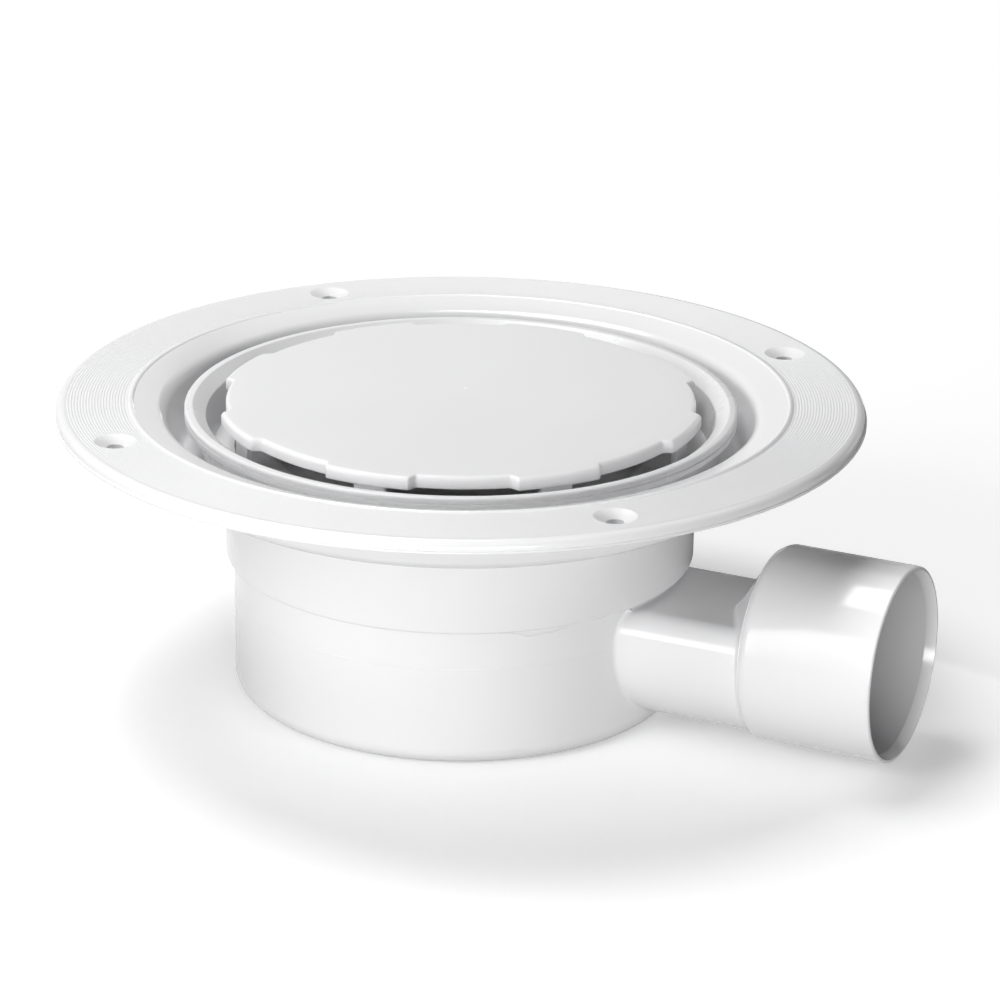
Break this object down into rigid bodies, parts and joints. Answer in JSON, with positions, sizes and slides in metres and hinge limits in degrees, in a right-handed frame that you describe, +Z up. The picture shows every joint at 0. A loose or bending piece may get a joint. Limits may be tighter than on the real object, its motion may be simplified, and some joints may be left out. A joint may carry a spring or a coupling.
{
  "type": "shower trap",
  "caption": "Round white plastic shower floor trap with a grooved fixing flange, clamp ring for sheet flooring, lobed lift-off cover, lift-out dip tube and a side pipe socket.",
  "frame": {"origin": "centre of the screw-hole circle on the underside of the floor flange, where it beds on the deck", "axes": "+Z up along the pot's axis, +X along the outlet pipe towards its mouth"},
  "size_m": [0.2754, 0.252, 0.0948],
  "materials": {
    "gloss_white": "gloss moulded white plastic",
    "satin_white": "satin moulded white plastic",
    "matte_white": "fine-grained matte white plastic",
    "screw_steel": "bright stainless steel",
    "seal_rubber": "black rubber"
  },
  "bodies": {
    "root": {"floor_flange": "gloss_white", "trap_pot": "gloss_white", "pipe_socket": "gloss_white", "clamp_ring": "satin_white", "clamp_screws": "screw_steel", "cover_plate": "matte_white", "trap_insert": "satin_white", "insert_seal": "seal_rubber"}
  },
  "joints": []
}
